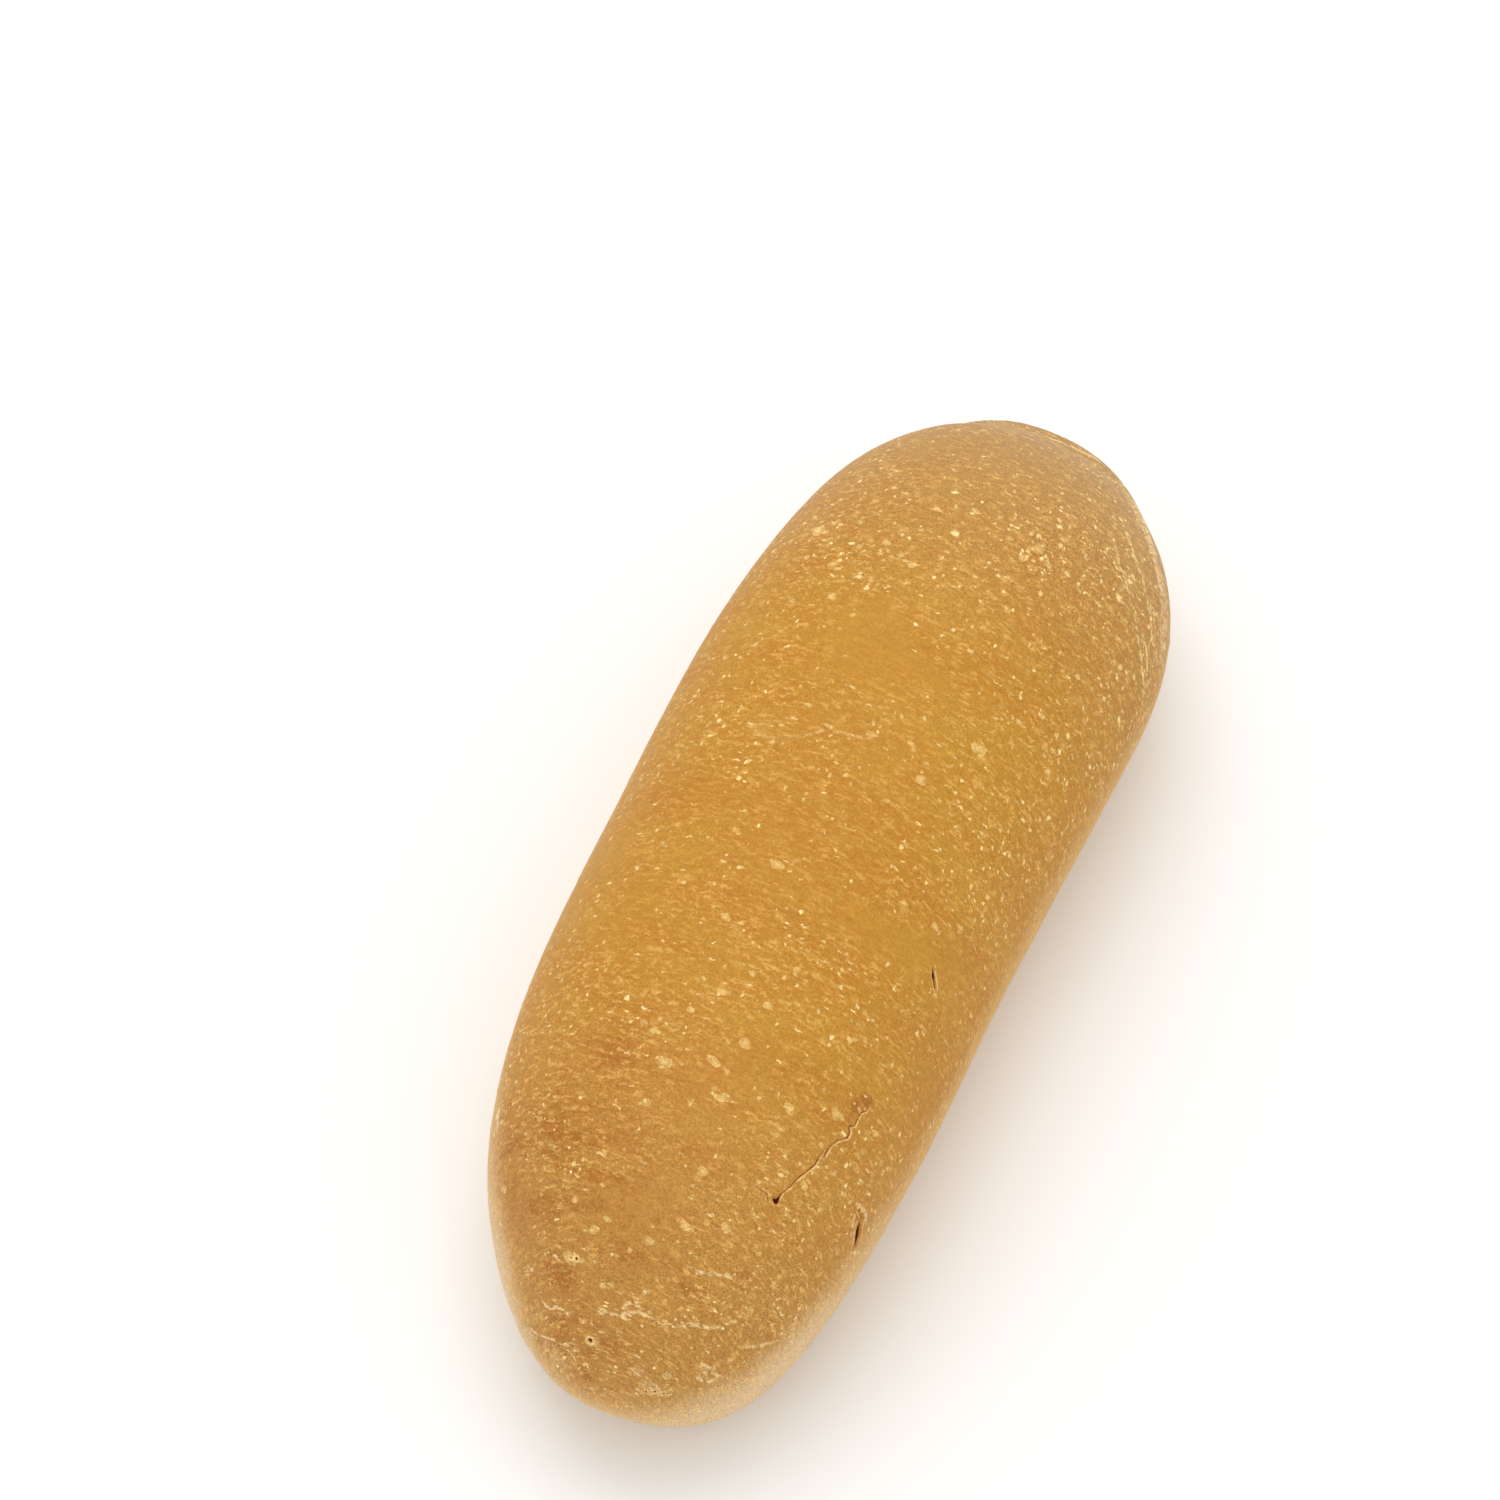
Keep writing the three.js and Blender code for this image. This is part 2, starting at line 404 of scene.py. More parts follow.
# Pin holes: along, around, radius.
PIN_HOLES = [
    (-67.6, 2.8, 0.30), (-61.4, 6.5, 0.20), (-61.3, 7.2, 0.15), (-62.8, 2.3, 0.12),
    (-68.3, -7.6, 0.17), (-67.6, -10.4, 0.14), (-68.6, -5.9, 0.12),
]
FAR_END_HOLES = [    # degrees round the band, how far out of its middle, radius
    (158, 0.1, 0.20), (146, -0.3, 0.14), (128, 0.2, 0.26), (112, -0.2, 0.16), (97, 0.3, 0.18),
    (78, -0.1, 0.22), (64, 0.3, 0.14), (45, -0.2, 0.20), (31, 0.1, 0.30), (17, -0.3, 0.16),
    (3, 0.2, 0.20), (-13, -0.1, 0.14),
]
# Rings, where a burst blister left only its edge: along, around, radius.
RINGS = [(-68.5, -6.6, 0.42), (-68.0, -8.7, 0.30), (-67.9, -9.7, 0.26), (-66.9, -8.3, 0.34)]

# %% [markdown]
# ## The far end's coil
#
# At the far end the rolled-up sheet shows its edge, like the end of a rolled carpet. The
# outer layer stops in an oval lip, furthest open near its top, and the inner coil fills
# the oval. One number per point describes it: how far outside the oval the point lies.
# Sines and noise make the oval wander, because a lip pulled by rising dough is never an
# ellipse.

# %% The far end's coil
COIL_Y, COIL_Z = 0.5, 15.5
COIL_HALF_WIDTH, COIL_HALF_HEIGHT = 12.5, 10.0
LIP_TURNS_TO = math.radians(75)    # the lip stands furthest open here
BAND_MIDDLE = -0.7                 # the pale band's middle lies this far outside the oval
NOISE_STEP = 17.3                  # how far apart the noises of two seeds are looked up


def dough_noise(points, wavelength, seed):
    """Smooth noise between about -1 and 1, with lumps about half a wavelength across."""
    moved = points / wavelength + seed * NOISE_STEP
    return np.array([noise.noise(p) for p in moved])


def round_coil(points):
    """How far each point lies outside the coil's edge, in mm, and its angle round the coil."""
    across = (points[:, 1] - COIL_Y) / COIL_HALF_WIDTH
    upward = (points[:, 2] - COIL_Z) / COIL_HALF_HEIGHT
    angle = np.arctan2(upward, across)
    sway = 0.05 * np.sin(3 * angle + 1.0) + 0.04 * np.sin(5 * angle)
    sway += 0.10 * np.sin(angle - LIP_TURNS_TO)
    outside = (np.hypot(across, upward) - 1 - sway) * COIL_HALF_HEIGHT
    return outside + 0.35 * dough_noise(points, 5, 9), angle


grid_outside, grid_angle = round_coil(grid_points)


def on_band(degrees, out):
    """The grid point on the far end's pale band at that angle, that far out of its middle."""
    off_angle = (grid_angle - math.radians(degrees)) * COIL_HALF_HEIGHT
    misses = (grid_outside - BAND_MIDDLE - out) ** 2 + off_angle ** 2
    return np.argmin(misses + RULED_OUT * (grid_points[:, 0] < END_FACE))


print("points inside the oval:", np.sum((grid_outside < 0) & (grid_points[:, 0] > END_FACE)))

# %% [markdown]
# ## Small blisters
#
# Small blisters are too many to place one by one, so seeded chance scatters them. They
# crowd where the dough held more gas, so a crust this size has clusters of them with bare
# skin between: a slow noise makes some places likelier than others. The grid's squares
# are smaller near the tips, so each point's own area is weighed in too.

# %% Scatter small blisters
SMALL_BLISTERS = 230
BLISTER_SIZES = (0.22, 0.62)    # half widths in mm
LOWEST_BLISTER = 4              # mm above the tray

chance = np.random.default_rng(7)
cell_size = np.linalg.norm(np.cross(along_rows, round_columns), axis=1)
likely = cell_size * np.clip(0.35 + dough_noise(grid_points, 11, 8), 0.02, 1) ** 2
likely *= grid_points[:, 2] > LOWEST_BLISTER
chosen = chance.choice(len(grid_points), SMALL_BLISTERS, replace=False, p=likely / likely.sum())
sizes = chance.uniform(*BLISTER_SIZES, SMALL_BLISTERS)
blisters = [
    (on_crust(along, around), half_round, half_along)
    for along, around, half_round, half_along in BLISTERS
]
blisters += [(point, size, size * chance.uniform(0.5, 0.85)) for point, size in zip(chosen, sizes)]
print("blisters:", len(blisters))

# %% [markdown]
# ## A finer mesh where the crust is torn
#
# A tear is a few tenths of a millimetre wide and the grid's squares are 0.6 mm. Making the
# whole grid finer would cost a million faces, so only the squares near a tear, a hole or a
# blister are cut up. Each point carries its own `s`, `w` and distance along, and
# Blender fills these in for the new points too. Their places are worked out afterwards
# from those numbers, so the new ones lie on the form and not on flat faces. Halfway
# between the last column and the first, the mean of two `w` would be 0, on the far side
# of the roll. So `w` is carried as a direction, by its cosine and its sine, which have a
# true mean.

# %% Cut the grid finer near the details
def mesh_grid():
    """The base grid as a Blender mesh: rings of quads, with a fan of triangles on each tip."""
    tips = len(grid_s) + np.arange(2)
    quads = []
    for row in range(ROWS - 2):
        for column in range(COLUMNS):
            after = (column + 1) % COLUMNS
            here, beyond = row * COLUMNS, (row + 1) * COLUMNS
            quads.append((here + column, beyond + column, beyond + after, here + after))
    last = (ROWS - 2) * COLUMNS
    fans = []
    for column in range(COLUMNS):
        after = (column + 1) % COLUMNS
        fans.append((tips[0], column, after))
        fans.append((tips[1], last + after, last + column))
    made = bpy.data.meshes.new("bread_roll")
    s = np.append(grid_s, [-1, 1])
    w = np.append(grid_w, [0, 0])
    made.from_pydata(form(s, w), [], quads + fans)
    off_tip = np.append(np.ones(len(grid_s)), [0, 0])
    numbers = {
        "s": s,
        "turn_cosine": np.cos(math.pi * w) * off_tip,
        "turn_sine": np.sin(math.pi * w) * off_tip,
        "travel": np.append(grid_travel, [0, CRUST_LENGTH]),
    }
    for name, values in numbers.items():
        made.attributes.new(name, "FLOAT", "POINT").data.foreach_set("value", values)
    return made


def cut_finer(mesh, rounds):
    """In each round, cuts in four the squares that lie within reach of one of its points."""
    work = bmesh.new()
    work.from_mesh(mesh)
    for points, reaches in rounds:
        places = np.array([v.co for v in work.verts])
        within = np.zeros(len(places), bool)
        for point, reach in zip(points, reaches):
            within |= ((places - point) ** 2).sum(1) < reach ** 2
        edges = {e for f in work.faces if any(within[v.index] for v in f.verts) for e in f.edges}
        bmesh.ops.subdivide_edges(work, edges=list(edges), cuts=1, use_grid_fill=True)
        work.verts.index_update()
    work.to_mesh(mesh)
    work.free()


def samples_of(path, gap=0.35):
    """Points every gap millimetres along a path on the crust."""
    corners = grid_points[[on_crust(*place[:2]) for place in path]]
    samples = [corners[:1]]
    for start, stop in zip(corners, corners[1:]):
        count = max(1, round(np.linalg.norm(stop - start) / gap))
        samples.append(start + (stop - start) * np.arange(1, count + 1)[:, None] / count)
    return np.concatenate(samples)


TORN_REACH = (1.4, 0.75)       # mm round a tear, in the first and in the second round
PIERCED_REACH = (1.2, 0.8)     # and round a hole or a ring

torn = np.concatenate([samples_of(path) for path, _, _ in TEARS])
holes = [(on_crust(along, around), radius) for along, around, radius in PIN_HOLES]
holes += [(on_band(degrees, out), radius) for degrees, out, radius in FAR_END_HOLES]
rings = [(on_crust(along, around), radius) for along, around, radius in RINGS]
pierced = grid_points[[point for point, _ in holes + rings]]
blistered = grid_points[[point for point, _, _ in blisters]]
blister_reach = [1.15 * half_round + 0.25 for _, half_round, _ in blisters]
first_round = (
    np.concatenate([torn, pierced, blistered]),
    [TORN_REACH[0]] * len(torn) + [PIERCED_REACH[0]] * len(pierced) + blister_reach,
)
second_round = (
    np.concatenate([torn, pierced]),
    [TORN_REACH[1]] * len(torn) + [PIERCED_REACH[1]] * len(pierced),
)
skin_mesh = mesh_grid()
cut_finer(skin_mesh, [first_round, second_round])


def numbers_of(name):
    values = np.zeros(len(skin_mesh.vertices), np.float32)
    skin_mesh.attributes[name].data.foreach_get("value", values)
    return values.astype(float)


s, travel = numbers_of("s"), numbers_of("travel")
w = np.arctan2(numbers_of("turn_sine"), numbers_of("turn_cosine")) / math.pi
base = form(np.clip(s, -1, 1), w)
skin_mesh.vertices.foreach_set("co", base.ravel())
skin_mesh.update()
flat_normals = np.zeros(base.size, np.float32)
skin_mesh.vertex_normals.foreach_get("vector", flat_normals)
normals = flat_normals.reshape(-1, 3).astype(float)
print("points:", len(base))

# %% [markdown]
# ## Relief
#
# Risen dough is never even. Its slow swells are noise with waves as long as a thumb, and
# shallower noise makes the dimples of the skin. A few swells are set one by one, where the
# photo's outline bulges or draws in. All of it pushes the points in or out along the
# form's own normals. The sole stays flat, because it lay on the tray.

# %% Swells and dimples
# Swells given one by one: along, around, reach, height.
SWELLS = [
    (62, -4, 15, -0.75), (46, 20, 12, -0.45), (5, 26, 14, -0.4), (-12, 26, 14, -0.45),
    (-54, 28, 10, 0.45), (-30, -38, 12, -0.4), (-60, -30, 8, 0.35), (44, -35, 12, 0.8),
    (-62, 14, 9, -0.3),
]

# Layers of noise, each with its height, the length of its waves and its seed.
SLOW_SWELLS = [(0.40, 34, 1), (0.16, 13, 2)]
DIMPLES = [(0.035, 2.6, 3), (0.018, 1.3, 4)]
SOLE_EDGE = 3.0    # mm above the tray, where the relief has grown to its full height


def layers_of_noise(points, layers):
    return sum(height * dough_noise(points, wavelength, seed) for height, wavelength, seed in layers)


def distance_from(point):
    return np.linalg.norm(base - grid_points[point], axis=1)


def spots_at(places):
    """A sum of soft round spots, each given as along, around, reach and height."""
    total = np.zeros(len(base))
    for along, around, reach, height in places:
        total += height * bell(distance_from(on_crust(along, around)), reach)
    return total


drawn_out = base * [1, 0.6, 0.6]    # noise looked up here is longer round the roll than along it
relief = layers_of_noise(base, SLOW_SWELLS) + spots_at(SWELLS) + layers_of_noise(drawn_out, DIMPLES)
relief *= smooth(base[:, 2], 0, SOLE_EDGE)
print("relief, mm:", round(relief.min(), 2), "to", round(relief.max(), 2))

# %% [markdown]
# ## Tears and slits
#
# A tear opens while the crust is already firm. Its upper lip stays sharp and throws a
# dark line, and the soft dough under it shows as a pale edge on the lower side. The mesh
# is too coarse to carry such a line as a colour. It carries the distance to the tear
# instead, which changes evenly from point to point, and the material draws a sharp line
# from that.

# %% Distance to the tears
FAR_AWAY = 3.0    # mm: no detail reaches further than this


def trace(corners, values):
    """For each point of the skin: the distance to a path, the side of it, and the path's own
    value at the nearest place, such as how far a tear gapes or how strong a fold is."""
    best = np.full(len(base), RULED_OUT)
    side = np.ones(len(base))
    value = np.zeros(len(base))
    for start, stop, first, last in zip(corners, corners[1:], values, values[1:]):
        run = stop - start
        share = np.clip((base - start) @ run / (run @ run), 0, 1)
        gap = base - start - share[:, None] * run
        length = np.linalg.norm(gap, axis=1)
        closer = length < best
        best[closer] = length[closer]
        turned = np.sum(np.cross(run, gap[closer]) * normals[closer], axis=1)
        side[closer] = np.where(turned >= 0, 1, -1)
        value[closer] = first + (last - first) * share[closer]
    return best, side, value


def path_corners(path):
    return grid_points[[on_crust(*place[:2]) for place in path]]


RAGGED = 0.06      # how far a tear's edge wanders
CUT_DEPTH = 0.12   # of a tear that hardly gapes; it grows by DEPTH_GAIN of the half opening
DEPTH_GAIN = 1.2
CUT_REACH = 0.14   # half the width of that tear; it grows by REACH_GAIN of the half opening
REACH_GAIN = 0.7
LIP_HEIGHT = 0.07

tear_gap = np.full(len(base), FAR_AWAY)     # distance, below 0 where a pale lip may lie
tear_opening = np.zeros(len(base))
lip_at = np.ones(len(base))
for path, lip, both_sides in TEARS:
    distance, side, opening = trace(path_corners(path), [place[2] for place in path])
    distance = distance + RAGGED * dough_noise(base, 0.6, 5) * (distance < 2)
    gapes = smooth(opening, 0.02, 0.10)
    walls = bell(distance, CUT_REACH + REACH_GAIN * opening)
    relief -= (CUT_DEPTH + DEPTH_GAIN * opening) * walls * gapes
    relief += LIP_HEIGHT * bell(distance - 0.5, 0.4) * gapes
    nearest = distance < np.abs(tear_gap)
    signed = -distance if both_sides else distance * side
    tear_gap[nearest] = signed[nearest]
    tear_opening[nearest] = opening[nearest]
    lip_at[nearest] = lip
print("points within half a millimetre of a tear:", np.sum(np.abs(tear_gap) < 0.5))

# %% [markdown]
# ## Pin holes, rings and blisters
#
# A pin hole is a narrow pit with a slightly raised rim. A ring is the thin edge that a
# burst blister leaves. A blister is a low oval dome. Each dome is turned a little and its
# edge is bent by noise, so that no two are alike. The material gets the distances to holes
# and blisters too, in radii or half widths, so that one threshold fits large and small.

# %% Relief of holes and blisters
PIT_DEPTH = 1.5       # in radii of the hole
RIM_HEIGHT = 0.05
DOME_HEIGHT = 0.15    # of a blister 1 mm wide
MOST_TURN = 0.35      # radians

hole_gap = np.full(len(base), FAR_AWAY)     # in radii of the hole
for point, radius in holes:
    gap = distance_from(point)
    hole_gap = np.minimum(hole_gap, gap / radius)
    relief += RIM_HEIGHT * bell(gap - 1.8 * radius, 0.3)
    relief -= PIT_DEPTH * radius * bell(gap, 0.9 * radius)

RING_WIDTH = 0.14
RING_DEPTH = 0.06
RING_SHADE = 0.75     # the hole_gap on the ring itself: a little less dark than a hole
for point, radius in rings:
    gap = distance_from(point)
    hole_gap = np.minimum(hole_gap, RING_SHADE + np.abs(gap - radius) / RING_WIDTH)
    relief -= RING_DEPTH * bell(gap - radius, 0.12)

blister_gap = np.full(len(base), FAR_AWAY)  # in half widths of the blister
for number, (point, half_round, half_along) in enumerate(blisters):
    close_by = np.flatnonzero(((base - grid_points[point]) ** 2).sum(1) < (3 * half_round) ** 2)
    gap = base[close_by] - grid_points[point]
    turn = MOST_TURN * math.sin(number * 2.4)
    long_way = grid_round[point] * math.cos(turn) + grid_along[point] * math.sin(turn)
    short_way = grid_along[point] * math.cos(turn) - grid_round[point] * math.sin(turn)
    oval = np.hypot(gap @ long_way / half_round, gap @ short_way / half_along)
    oval *= 1 + 0.40 * dough_noise(base[close_by], 0.9, 6)
    blister_gap[close_by] = np.minimum(blister_gap[close_by], oval)
    relief[close_by] += DOME_HEIGHT * half_along ** 0.5 * (1 - smooth(oval, 0.5, 1.15))
print("points on blisters:", np.sum(blister_gap < 1))

# %% [markdown]
# ## The lip and the knob of the far end
#
# Just outside the oval the outer layer swells into the lip, and a groove divides it from
# the coil inside, which stands out as a low knob. In the groove the dough was pulled open
# late, so a band of it stayed pale and full of little holes. The photo doesn't show this
# face, so it is made like the open ends that rolls of this kind have. `seam` gathers how
# bare the dough is at each point, and `coil_gap` is the distance outside the pale band.

# %% The far end's lip
LIP_RISE = 1.0
GROOVE_DEPTH = 1.7
KNOB_RISE = 0.7
INNER_FOLD = 0.35
BAND_HALF = 0.8
FACE_STARTS = (52, 60)    # mm along X, over which the far end's face begins

seam = np.zeros(len(base))
outside, angle = round_coil(base)
on_far_end = smooth(base[:, 0], *FACE_STARTS)
opened = on_far_end * smooth(np.cos(angle - LIP_TURNS_TO), -0.2, 0.75)
relief += LIP_RISE * bell(outside - 1.3, 1.5) * opened
relief -= GROOVE_DEPTH * bell(outside - BAND_MIDDLE, 0.8) * opened
relief += KNOB_RISE * smooth(-outside, 1.2, 4.5) * on_far_end
band_half = BAND_HALF * smooth(opened, 0.0, 0.7) * (1 + 0.25 * dough_noise(base, 3, 17))
coil_gap = np.abs(outside - BAND_MIDDLE) - band_half + FAR_AWAY * (1 - on_far_end)
inner_fold = on_far_end * smooth(np.cos(angle + 1.2), 0.1, 0.8)
relief += INNER_FOLD * (bell(outside + 4.3, 0.9) - bell(outside + 3.0, 0.5)) * inner_fold
seam = np.maximum(seam, 0.5 * bell(outside + 3.2, 0.5) * inner_fold)
print("points on the pale band:", np.sum(coil_gap < 0))

# %% [markdown]
# ## Crease, folds and pale rows
#
# At the near end the coil has closed, and only a shallow crease is left of its lip. Round
# both ends the rolled-up dough stretched in steps, and every step left a thin fold or a
# row of small pale marks. Their places were read off the photo too.

# %% Places of the crease, the folds and the rows
NEAR_CREASE = [    # y and z on the near end
    (6.5, 9.0), (8.2, 13.5), (7.3, 18.1), (6.2, 19.0), (4.1, 21.0), (2.5, 22.3),
    (0.5, 22.7), (-0.7, 22.8),
]
FAR_FOLD = [
    (65.2, -9.0), (64.2, -12.4), (62.8, -15.6), (60.6, -18.4), (58.2, -21.4), (55.6, -24.6),
    (52.6, -27.8), (49.6, -30.7), (46.2, -33.3), (42.0, -35.3),
]
RIM_TEAR = [(-43.4, 29.8), (-44.8, 29.2), (-46.4, 28.5), (-48.2, 27.6)]

# Thin pale rows and folds: how pale, then the places along and around.
PALE_ROWS = [
    (0.8, [(-65.2, 2.4), (-64.8, 0.3), (-64.0, -2.4), (-63.7, -6.2)]),
    (0.8, [(-63.7, -6.2), (-62.4, -9.7), (-61.1, -12.8), (-59.1, -16.2)]),
    (0.6, [(-64.5, -13.7), (-63.9, -16.0), (-63.1, -19.0)]),
    (0.7, [(-57.7, -8.1), (-57.3, -9.6), (-56.3, -12.2), (-55.6, -13.9)]),
    (0.25, [(4.7, 10.9), (5.8, 7.4), (6.7, 4.4), (8.5, 2.0), (9.3, -1.0), (9.5, -3.5)]),
    (0.25, [(5.9, 12.2), (7.1, 8.6), (9.1, 6.1)]),
    (0.6, [(-60.5, -19.0), (-58.6, -22.5), (-56.0, -27.0)]),
    (0.55, [(57.0, -15.0), (54.5, -17.5), (51.6, -20.3), (48.7, -24.7), (45.6, -28.5), (43.3, -32.7)]),
    (0.55, [(52.5, -16.0), (49.1, -18.9), (45.5, -23.3), (42.3, -27.7), (39.5, -32.6), (37.2, -36.6)]),
    (0.7, [(56.5, -22.5), (55.1, -24.2), (52.3, -27.0), (49.8, -29.7)]),
    (0.7, [(49.0, -26.5), (47.7, -27.6), (45.1, -30.8), (43.5, -34.2)]),
    (0.7, [(48.5, -29.5), (47.3, -31.2), (45.7, -34.8), (44.5, -39.0)]),
    (0.7, [(44.0, -27.5), (43.3, -28.9), (41.6, -31.9), (39.6, -34.7)]),
    (0.7, [(54.5, -18.0), (53.1, -19.6), (50.7, -22.3), (48.3, -25.1)]),
    (0.7, [(65.6, 0.6), (66.0, -2.5), (66.2, -5.9), (66.2, -8.5)]),
    (0.7, [(64.9, -9.6), (64.2, -12.4), (62.8, -15.6), (60.6, -18.4), (58.2, -21.4), (55.6, -24.6)]),
    (0.6, [(62.3, -15.0), (60.1, -17.9), (57.7, -20.9), (55.1, -24.0), (52.1, -27.2), (49.1, -30.0)]),
    (0.9, [(-40.0, -28.8), (-39.3, -29.2), (-39.2, -30.4), (-39.2, -32.2), (-39.4, -33.2)]),
    (0.9, [(-40.3, -29.0), (-41.3, -29.7), (-41.9, -30.1), (-42.5, -30.7)]),
    (0.7, [(-43.2, -32.3), (-42.8, -34.5), (-41.3, -36.9)]),
]
NEAR_ROWS = [    # how pale, then y and z on the near end
    (1.0, [(5.9, 24.7), (4.6, 25.6), (3.4, 27.0), (2.5, 27.3), (1.5, 27.4)]),
    (1.0, [(6.3, 19.3), (4.8, 20.8), (3.8, 21.8), (2.6, 22.8), (1.6, 22.9)]),
    (0.9, [(1.6, 23.6), (0.9, 23.7), (0.2, 23.7), (-0.5, 23.6)]),
    (1.0, [(1.1, 23.1), (0.4, 22.7), (-0.1, 22.3), (-0.4, 21.8)]),
    (0.9, [(6.9, 30.4), (5.7, 30.9), (4.7, 31.4)]),
    (0.7, [(9.3, 26.1), (8.5, 26.5), (8.1, 27.0)]),
    (0.9, [(-1.3, 29.9), (-1.9, 30.4), (-2.5, 30.3), (-3.1, 30.3)]),
    (1.0, [(-4.5, 31.7), (-5.5, 32.1), (-6.6, 32.3)]),
    (0.9, [(-4.3, 30.9), (-5.1, 30.7), (-5.9, 30.7)]),
    (1.0, [(-9.3, 30.9), (-10.1, 30.5), (-11.7, 30.4), (-13.3, 29.9), (-14.7, 29.2)]),
    (0.8, [(-7.2, 26.8), (-8.3, 26.5)]),
    (0.9, [(-14.6, 25.1), (-15.4, 24.1), (-16.2, 23.3)]),
    (0.8, [(-5.9, 33.4), (-7.1, 33.6)]),
    (0.8, [(-14.3, 23.2), (-15.6, 21.8), (-16.4, 21.3)]),
    (0.9, [(-10.4, 35.1), (-11.8, 34.6), (-13.1, 34.3)]),
]
PALE_SPOTS = [     # along, around, reach, how pale
    (-68.4, 10.0, 1.8, 0.30), (-67.2, 12.8, 1.6, 0.28), (-68.8, 7.9, 1.4, 0.28),
    (-67.6, 2.2, 0.8, 0.30), (-68.2, -6.4, 1.6, 0.30), (-67.9, -4.0, 1.2, 0.30),
]

# %% [markdown]
# The crease is a groove with a low ridge beside it, and the far end's fold is a ridge with
# a shallow groove beside it. Both are traced like the tears, with a strength that drops to
# 0 at their ends, so that they fade out instead of stopping.

# %% Pale spots, crease and fold
CREASE_STRENGTHS = [0, 0.6, 1, 1, 1, 1, 0.6, 0]
CREASE_RIDGE = 0.30
CREASE_DEPTH = 0.50
FOLD_RIDGE = 0.30
FOLD_DEPTH = 0.20
RIM_TEAR_DEPTH = 0.25

pale_noise = dough_noise(base, 0.9, 14)
for along, around, reach, strength in PALE_SPOTS:
    distance = distance_from(on_crust(along, around))
    seam = np.maximum(seam, strength * bell(distance * (1 + 0.5 * pale_noise), reach))

crease = grid_points[[on_end(NEAR_END, y, z) for y, z in NEAR_CREASE]]
distance, side, strength = trace(crease, CREASE_STRENGTHS)
across = distance * side
relief += (CREASE_RIDGE * bell(across - 0.9, 1.0) - CREASE_DEPTH * bell(across + 0.5, 0.6)) * strength
crumbled = smooth(pale_noise, -0.4, 0.3)
seam = np.maximum(seam, 0.25 * bell(across - 0.1, 0.6) * strength * crumbled)

distance, side, strength = trace(path_corners(FAR_FOLD), [0] + [1] * (len(FAR_FOLD) - 2) + [0])
across = distance * side
relief += (FOLD_RIDGE * bell(distance, 0.9) - FOLD_DEPTH * bell(across + 1.0, 0.5)) * strength
seam = np.maximum(seam, 0.45 * bell(distance, 1.5) * strength * (0.6 + 0.4 * crumbled))

distance, side, strength = trace(path_corners(RIM_TEAR), [0, 1, 1, 0])
relief -= RIM_TEAR_DEPTH * bell(distance, 0.35) * strength
seam = np.maximum(seam, 0.8 * bell(distance, 0.5) * strength)
print("points of bare dough:", np.sum(seam > 0.3))

# %% [markdown]
# Each point gets its signed distance to the nearest row, and how pale that row is there. A
# distance that changes sign at the row is exact between the points too, so even a row
# thinner than a square of the mesh is drawn cleanly.

# %% Pale rows
ROW_HEIGHT = 0.05


def tapered(corners):
    """The path with one more corner near each end, and a strength that drops to 0 at its ends."""
    first = corners[:1] + 0.25 * (corners[1:2] - corners[:1])
    last = corners[-1:] + 0.25 * (corners[-2:-1] - corners[-1:])
    longer = np.concatenate([corners[:1], first, corners[1:-1], last, corners[-1:]])
    return longer, [0] + [1] * (len(longer) - 2) + [0]


pale_rows = [(paleness, path_corners(path)) for paleness, path in PALE_ROWS]
pale_rows += [
    (paleness, grid_points[[on_end(NEAR_END, y, z) for y, z in path]]) for paleness, path in NEAR_ROWS
]
row_gap = np.full(len(base), FAR_AWAY)
row_paleness = np.zeros(len(base))
for paleness, corners in pale_rows:
    distance, side, strength = trace(*tapered(corners))
    relief += ROW_HEIGHT * bell(distance, 0.35) * strength
    nearest = distance < np.abs(row_gap)
    row_gap[nearest] = (distance * side)[nearest]
    row_paleness[nearest] = (paleness * strength * bell(distance, 0.9))[nearest]
print("pale rows:", len(pale_rows))

# %% [markdown]
# ## Where the colour changes
#
# Three numbers at each point steer the broad colour. `shade` says how brown the crust is
# there, and it is higher in a few stains that the photo shows, and in broad patches
# towards the near end that are partly painted shade. `crowd` says how many
# specks there are. `off_tray` is low where the tray touched the dough and browned it.
# They change slowly enough for the mesh to carry them.

# %% Shade, crowding and the tray's brown
# Stains and broad patches: along, around, reach, how much browner.
STAINS_AND_SHADE = [
    (-30.5, -21.9, 0.9, 3.2), (-29.5, -22.5, 0.8, 3.4), (-31.7, -21.3, 0.8, 2.6),
    (-33.0, -20.9, 0.7, 1.4),
    (-40.2, -29.9, 0.5, 1.8), (-39.8, -31.5, 0.5, 1.6), (-40.8, -30.4, 0.5, 1.6),
    (-40.9, -31.9, 0.6, 1.6), (-41.8, -33.2, 0.6, 1.4),
    (-63.1, 8.6, 2.3, 1.8), (-59.9, -7.8, 1.0, 1.4), (-69.0, 15.2, 1.3, 1.4),
    (-67.7, 0.2, 1.6, 0.9), (-63.8, 12.5, 2.0, 0.9), (-61.0, 0.4, 2.0, 1.3),
    (-69.5, 2.8, 1.2, 1.8), (-66.7, 7.6, 1.5, 1.9), (-68.4, 3.0, 1.2, 1.8),
    # Broad patches that darken the near end: partly browner crust, partly painted shade.
    (-51.1, 12.7, 7, 1.2), (-52.5, 3.8, 7, 0.9), (-61.1, 6.3, 5, 0.6), (-39.2, 9.5, 7, 0.8),
    (-48.0, 24.0, 8, 0.5), (-58.0, 16.0, 5, 0.8),
    (7.9, -11.0, 1.6, 0.4), (-17.0, 1.4, 6, 0.3), (20.0, 20.0, 8, -0.2),
]
